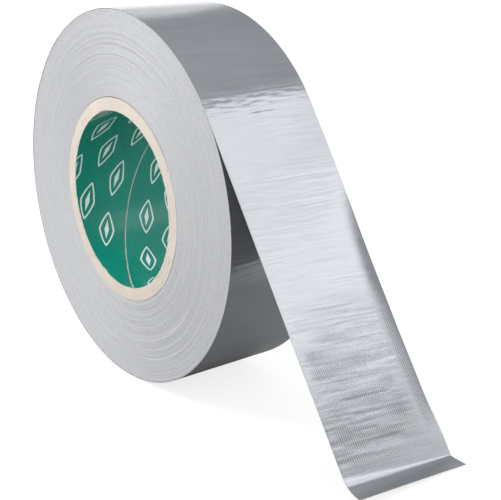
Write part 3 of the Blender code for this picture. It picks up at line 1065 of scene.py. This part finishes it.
def make_free_end(materials):
    """The free end: the same web in one set of layers for each hinge, each set starting a little before its
    hinge.
    """
    before = [0.0] + [HINGE_BEND] * (len(HINGES) - 2) + [TIP_LEAD]
    starts = [(hinge - HINGES[0]).length - lead for hinge, lead in zip(HINGES, before)]
    ends = starts[1:] + [MIDDLE_END]
    for k, section in enumerate(SECTIONS):
        if section == SECTIONS[-1]:
            rows, fray = tip_rows, FRAY
        else:
            rows, fray = straight_rows(steps(starts[k], ends[k], FINE_STEP)), 0.0
        names = (f"film_{section}_sheet", f"adhesive_{section}_coat", f"scrim_{section}_net")
        for piece in make_web(names, section, rows, FILM_COLUMNS, TAIL_WEFT_POINTS, materials, fray):
            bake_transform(piece)


# ---------------- stage, lights and camera

FLOOR_HALF = 6.0
FLOOR_DROP = 0.05 * MM
FLOOR_GLOW = 0.78


def make_floor():
    """A pale sheet that reads as white and reflects as a soft grey, so that the film keeps its contrast."""
    mesh = bpy.data.meshes.new("floor")
    corners = [(a * FLOOR_HALF, b * FLOOR_HALF, 0) for a, b in ((-1, -1), (1, -1), (1, 1), (-1, 1))]
    mesh.from_pydata(corners, [], [(0, 1, 2, 3)])
    material, tree, shader = start_material("floor_white", Roughness=0.9, Specular_IOR_Level=0.0)
    parts = node(tree, "SeparateXYZ", {"Vector": object_place(tree, (1.0, 1.0, 1.0))})
    # Painted shade and light: the floor's grey is darker on the roll's near side and lighter beyond it, for
    # what the film mirrors and the roll gets back.
    painted_floor_gradient = remap(tree, parts.outputs["X"], 0.0, 1.0, start=-0.04, end=0.10)
    tone = mixed(tree, painted_floor_gradient, (0.30, 0.30, 0.30, 1.0), (0.62, 0.62, 0.61, 1.0))
    shader.inputs["Emission Color"].default_value = (1.0, 1.0, 1.0, 1.0)
    path = node(tree, "LightPath")
    glow = maths(tree, "MULTIPLY", path.outputs["Is Camera Ray"], FLOOR_GLOW)
    link_to(tree, shader, Base_Color=tone, Emission_Strength=glow)
    mesh.materials.append(material)
    floor = bpy.data.objects.new("floor", mesh)
    floor.location.z = -FLOOR_DROP
    bpy.context.scene.collection.objects.link(floor)


def place_light(light, azimuth, height, distance):
    """Hangs a light facing the roll's centre, at degrees from +X towards -Y and at degrees above level."""
    lamp = bpy.data.objects.new(light.name, light)
    level = math.cos(math.radians(height))
    across, back = math.cos(math.radians(azimuth)), -math.sin(math.radians(azimuth))
    towards = Vector((level * across, level * back, math.sin(math.radians(height))))
    lamp.location = AXIS + towards * distance
    lamp.rotation_euler = towards.to_track_quat("Z", "Y").to_euler()
    bpy.context.scene.collection.objects.link(lamp)


def add_softbox(name, azimuth, height, wide, tall, brightness, distance):
    """An area light of so many degrees across and up. Its brightness is what a mirror would show of it."""
    light = bpy.data.lights.new(name, "AREA")
    light.shape = "RECTANGLE"
    light.size = 2 * distance * math.tan(math.radians(wide / 2))
    light.size_y = 2 * distance * math.tan(math.radians(tall / 2))
    light.energy = brightness * math.pi * light.size * light.size_y
    place_light(light, azimuth, height, distance)


# Softboxes: name, azimuth, height, degrees wide and tall, brightness, and distance.
SOFTBOXES = (
    ("free_end_high_softbox", 44, 41, 26, 10, 1.15, 3.0),
    ("free_end_middle_softbox", 44, 30, 26, 9, 1.30, 3.0),
    ("free_end_low_softbox", 40, 18, 19, 13, 0.58, 3.0),
    ("back_softbox", -57, 9, 44, 14, 0.78, 3.0),
    ("back_high_softbox", -66, 26, 28, 14, 0.50, 3.0),
    ("side_softbox", -148, 42, 26, 22, 9.0, 0.34),
    ("front_softbox", 150, 8, 20, 14, 14.0, 3.0),
)


def make_lights():
    """Softboxes that the free end mirrors, low ones behind the roll, and soft light on its near side."""
    for softbox in SOFTBOXES:
        add_softbox(*softbox)
    key = bpy.data.lights.new("side_key", "SUN")
    key.energy = 0.3
    key.angle = math.radians(40)
    place_light(key, 160, 30, 1.5)


def make_world():
    """A grey surround, darkest high up, and lighter on the roll's near side."""
    world = bpy.data.worlds.new("studio")
    world.use_nodes = True
    tree = world.node_tree
    background = tree.nodes["Background"]
    place = node(tree, "TexCoord")
    parts = node(tree, "SeparateXYZ", {"Vector": place.outputs["Generated"]})
    grey = [(0.0, (0.44, 0.445, 0.455)), (0.40, (0.36, 0.375, 0.39)), (0.57, (0.32, 0.337, 0.355))]
    grey += [(0.70, (0.36, 0.38, 0.395)), (0.80, (0.43, 0.452, 0.463)), (1.0, (0.50, 0.52, 0.53))]
    shade = ramp(tree, parts.outputs["Z"], grey)
    near_side = remap(tree, parts.outputs["X"], 1.0, 0.0, start=-0.9, end=-0.1)
    shade = mixed(tree, near_side, shade, (0.80, 0.80, 0.80, 1.0))
    path = node(tree, "LightPath")
    shown = mixed(tree, path.outputs["Is Camera Ray"], shade, (1.0, 1.0, 1.0, 1.0))
    tree.links.new(shown, background.inputs["Color"])
    bpy.context.scene.world = world


# How far the camera stands from the roll's centre, how far round and down it looks, and how it is tilted.
CAMERA_OFFSET = Vector((-0.2392, -0.3710, 0.1027))
CAMERA_AZIMUTH = math.radians(37.42)
CAMERA_DOWN = math.radians(16.51)
CAMERA_TILT = math.radians(-1.25)
CAMERA_LENS = 73.82
CAMERA_SENSOR = 36.0


def make_camera():
    camera_data = bpy.data.cameras.new("camera")
    camera_data.lens = CAMERA_LENS
    camera_data.sensor_width = CAMERA_SENSOR
    camera = bpy.data.objects.new("camera", camera_data)
    look = Matrix.Rotation(-CAMERA_AZIMUTH, 4, "Z") @ Matrix.Rotation(math.pi / 2 - CAMERA_DOWN, 4, "X")
    place = Matrix.Translation(Vector((0.0, AXIS.y, AXIS.z)) + CAMERA_OFFSET)
    camera.matrix_world = place @ look @ Matrix.Rotation(CAMERA_TILT, 4, "Z")
    bpy.context.scene.collection.objects.link(camera)
    bpy.context.scene.camera = camera
    bpy.context.scene.view_settings.view_transform = "Standard"


def main():
    make_camera()
    materials = make_materials()
    make_core(materials)
    make_print(materials)
    make_winding(materials)
    make_last_turn(materials)
    make_free_end(materials)
    make_floor()
    make_lights()
    make_world()


main()
